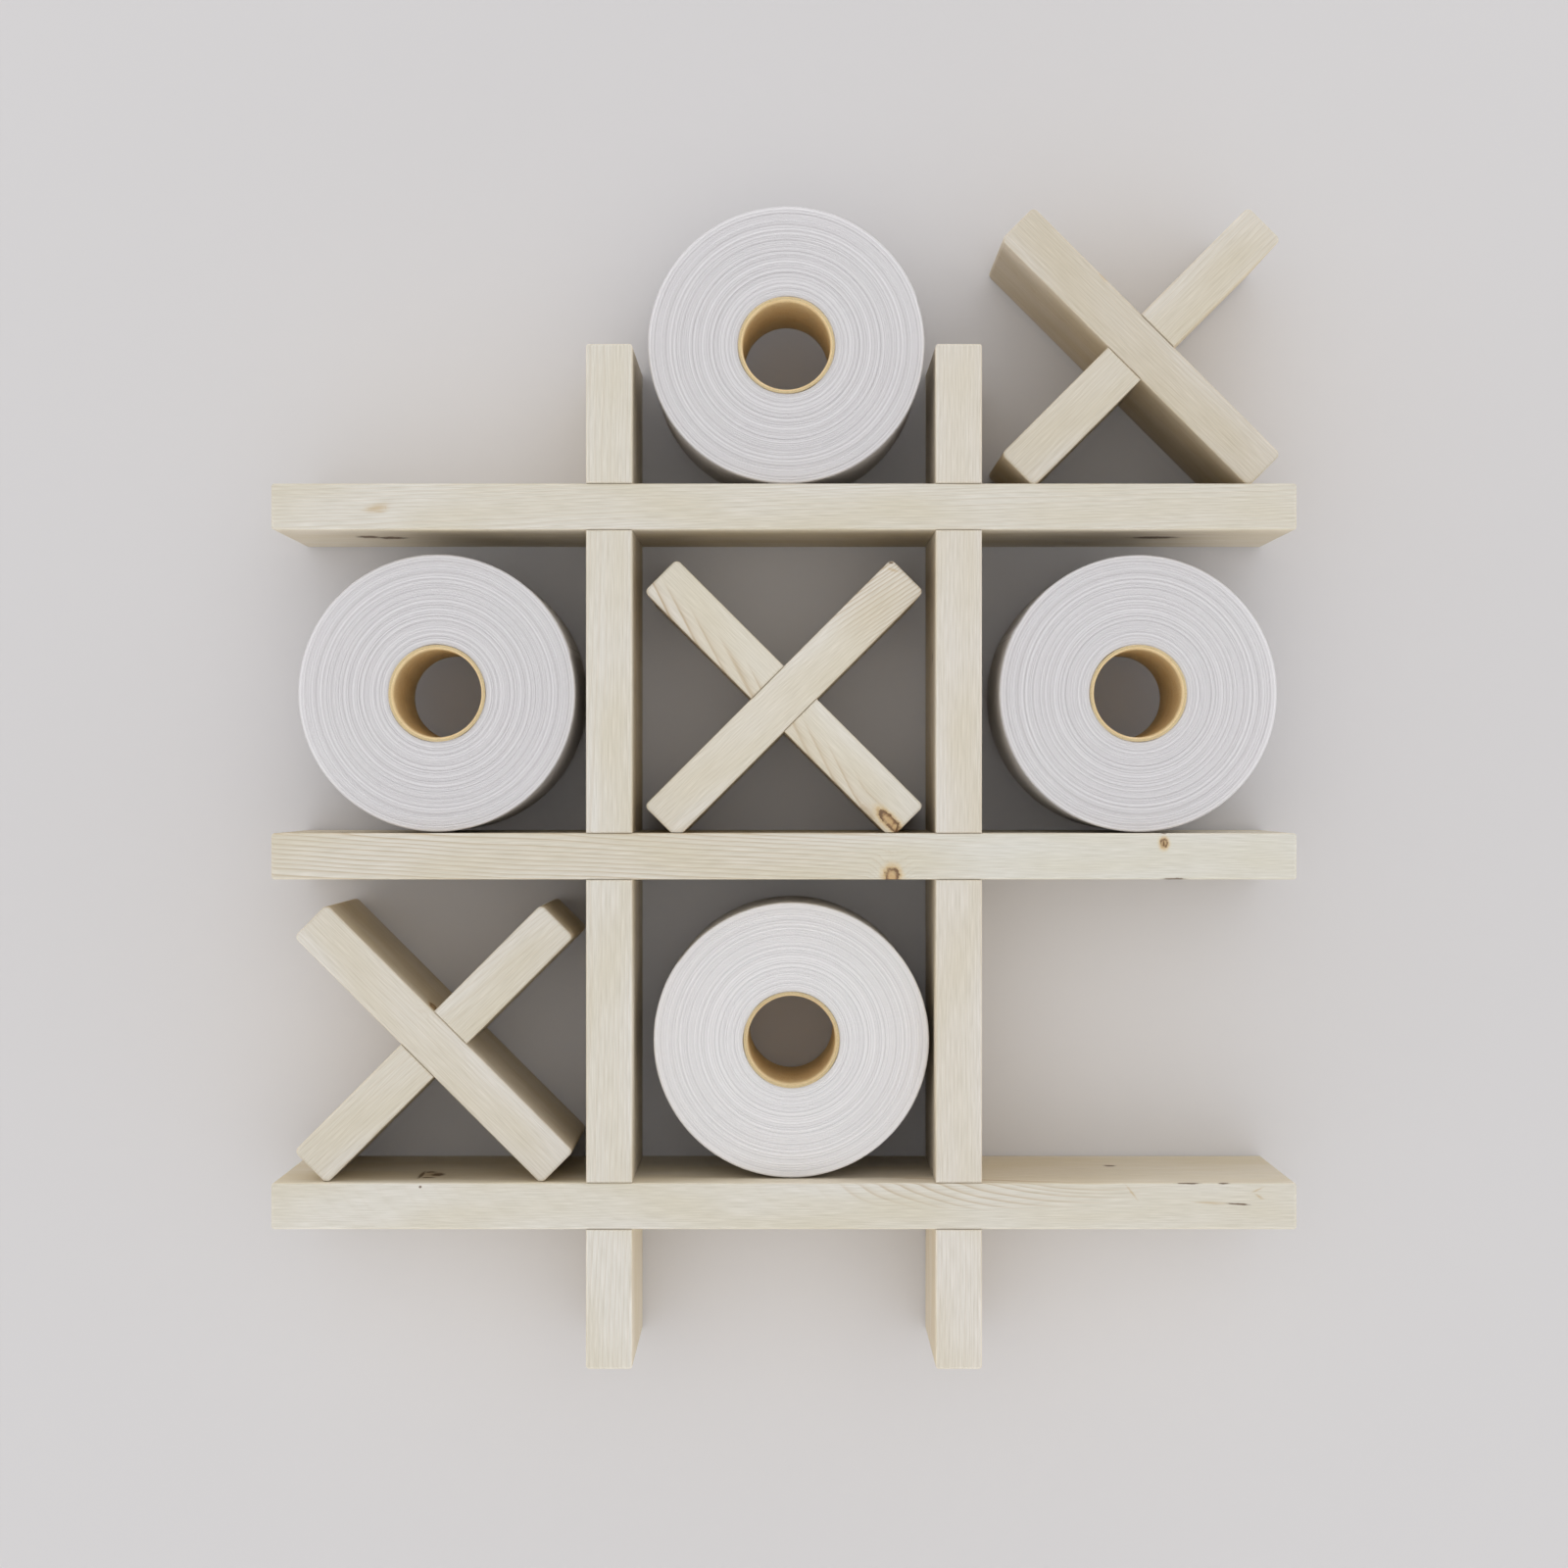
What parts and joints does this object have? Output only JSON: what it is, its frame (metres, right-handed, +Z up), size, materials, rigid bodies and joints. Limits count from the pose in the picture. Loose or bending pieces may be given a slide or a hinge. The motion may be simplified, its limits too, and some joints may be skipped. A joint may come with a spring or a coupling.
{
  "type": "toilet roll storage holder",
  "caption": "Wall-hung noughts-and-crosses grid of spruce shelves and uprights that stores toilet rolls as the noughts, with loose wooden crosses.",
  "frame": {"origin": "on the wall plane, midway between the round entries of the two keyhole plates", "axes": "+Y into the wall, square to it, so the front faces -Y; +X to the right seen from the front; +Z up along the uprights"},
  "size_m": [0.422, 0.114, 0.4798],
  "materials": {
    "grid_spruce": "matte",
    "cross_spruce": "matte",
    "zinc_plated_steel": "satin",
    "tissue_paper": "matte",
    "core_card": "matte"
  },
  "bodies": {
    "grid": {"shelf_top": "grid_spruce", "shelf_middle": "grid_spruce", "shelf_bottom": "grid_spruce", "upright_left": "grid_spruce", "upright_right": "grid_spruce", "keyhole_hanger_left": "zinc_plated_steel", "keyhole_hanger_right": "zinc_plated_steel", "hanger_screws": "zinc_plated_steel"},
    "cross_top_right": {"cross_top_right_front_bar": "cross_spruce", "cross_top_right_rear_bar": "cross_spruce"},
    "cross_centre": {"cross_centre_front_bar": "cross_spruce", "cross_centre_rear_bar": "cross_spruce"},
    "cross_bottom_left": {"cross_bottom_left_front_bar": "cross_spruce", "cross_bottom_left_rear_bar": "cross_spruce"},
    "roll_top": {"roll_top_paper": "tissue_paper", "roll_top_core": "core_card"},
    "roll_left": {"roll_left_paper": "tissue_paper", "roll_left_core": "core_card"},
    "roll_right": {"roll_right_paper": "tissue_paper", "roll_right_core": "core_card"},
    "roll_bottom": {"roll_bottom_paper": "tissue_paper", "roll_bottom_core": "core_card"}
  },
  "joints": [
    {"name": "cross_top_right_slide_out", "type": "slide", "parent": "grid", "child": "cross_top_right", "axis": [0, -1, 0], "range_m": [0, 0.125]},
    {"name": "cross_centre_slide_out", "type": "slide", "parent": "grid", "child": "cross_centre", "axis": [0, -1, 0], "range_m": [0, 0.125]},
    {"name": "cross_bottom_left_slide_out", "type": "slide", "parent": "grid", "child": "cross_bottom_left", "axis": [0, -1, 0], "range_m": [0, 0.125]},
    {"name": "roll_top_slide_out", "type": "slide", "parent": "grid", "child": "roll_top", "axis": [0, -1, 0], "range_m": [0, 0.125]},
    {"name": "roll_left_slide_out", "type": "slide", "parent": "grid", "child": "roll_left", "axis": [0, -1, 0], "range_m": [0, 0.125]},
    {"name": "roll_right_slide_out", "type": "slide", "parent": "grid", "child": "roll_right", "axis": [0, -1, 0], "range_m": [0, 0.125]},
    {"name": "roll_bottom_slide_out", "type": "slide", "parent": "grid", "child": "roll_bottom", "axis": [0, -1, 0], "range_m": [0, 0.125]}
  ]
}
